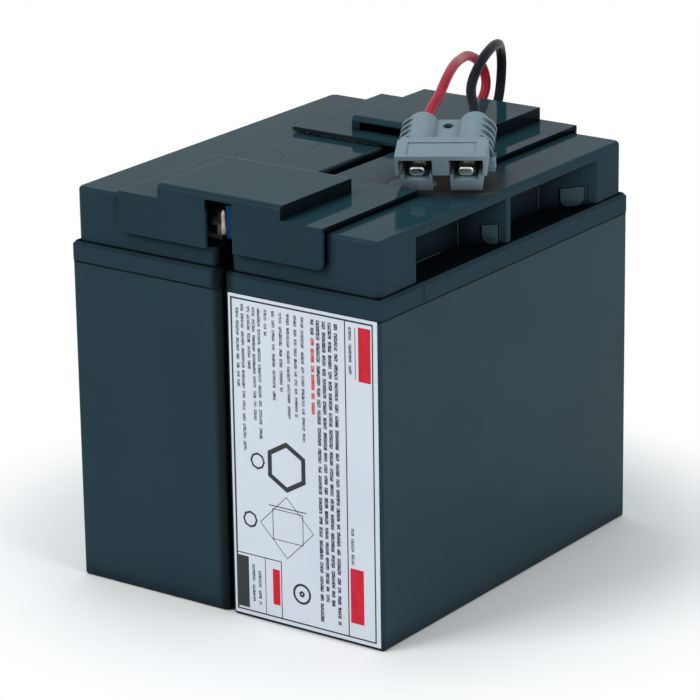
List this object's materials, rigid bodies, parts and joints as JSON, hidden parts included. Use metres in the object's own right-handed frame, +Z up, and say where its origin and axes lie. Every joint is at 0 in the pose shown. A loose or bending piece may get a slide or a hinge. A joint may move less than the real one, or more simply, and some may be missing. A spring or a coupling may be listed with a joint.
{
  "type": "ups battery cartridge",
  "caption": "Pair of sealed batteries joined side by side under two terminal covers, with a series fuse and two leads to a power connector.",
  "frame": {"origin": "middle of the bottom, between the two batteries", "axes": "+X across the pair to the right seen from the front, +Y to the rear where the leads come out, +Z up"},
  "size_m": [0.1522, 0.1993, 0.2064],
  "materials": {
    "case_plastic": "moulded, fine even grain",
    "lid_plastic": "moulded, satin gloss",
    "vent_plastic": "moulded, satin gloss",
    "valve_rubber": "soft black rubber",
    "battery_plates": "pasted lead plates and glass mats",
    "cast_lead": "cast lead",
    "terminal_metal": "tin plated",
    "link_metal": "tin plated copper",
    "fuse_plastic": "moulded, gloss",
    "fastener_steel": "zinc plated",
    "cover_plastic": "moulded sheet, satin gloss",
    "foam_tape": "foam tape",
    "label_film": "coated film",
    "connector_plastic": "moulded grey",
    "contact_metal": "silver plated",
    "red_insulation": "smooth insulation",
    "black_insulation": "smooth insulation"
  },
  "bodies": {
    "root": {"black_lead": "black_insulation", "black_lug": "terminal_metal", "connector_contacts": "contact_metal", "connector_housing": "connector_plastic", "contact_springs": "contact_metal", "cover_tape": "foam_tape", "front_bolts": "fastener_steel", "front_cover": "cover_plastic", "front_label": "label_film", "front_nuts": "fastener_steel", "front_washers": "fastener_steel", "fuse_body": "fuse_plastic", "fuse_link": "link_metal", "left_cell_straps": "cast_lead", "left_container": "case_plastic", "left_lid": "lid_plastic", "left_negative_terminal": "terminal_metal", "left_plate_stacks": "battery_plates", "left_positive_terminal": "terminal_metal", "left_valve_caps": "valve_rubber", "left_vent_discs": "vent_plastic", "pair_tape": "foam_tape", "rear_bolts": "fastener_steel", "rear_cover": "cover_plastic", "rear_nuts": "fastener_steel", "rear_washers": "fastener_steel", "red_lead": "red_insulation", "red_lug": "terminal_metal", "right_cell_straps": "cast_lead", "right_container": "case_plastic", "right_lid": "lid_plastic", "right_negative_terminal": "terminal_metal", "right_plate_stacks": "battery_plates", "right_positive_terminal": "terminal_metal", "right_valve_caps": "valve_rubber", "right_vent_discs": "vent_plastic"}
  },
  "joints": []
}
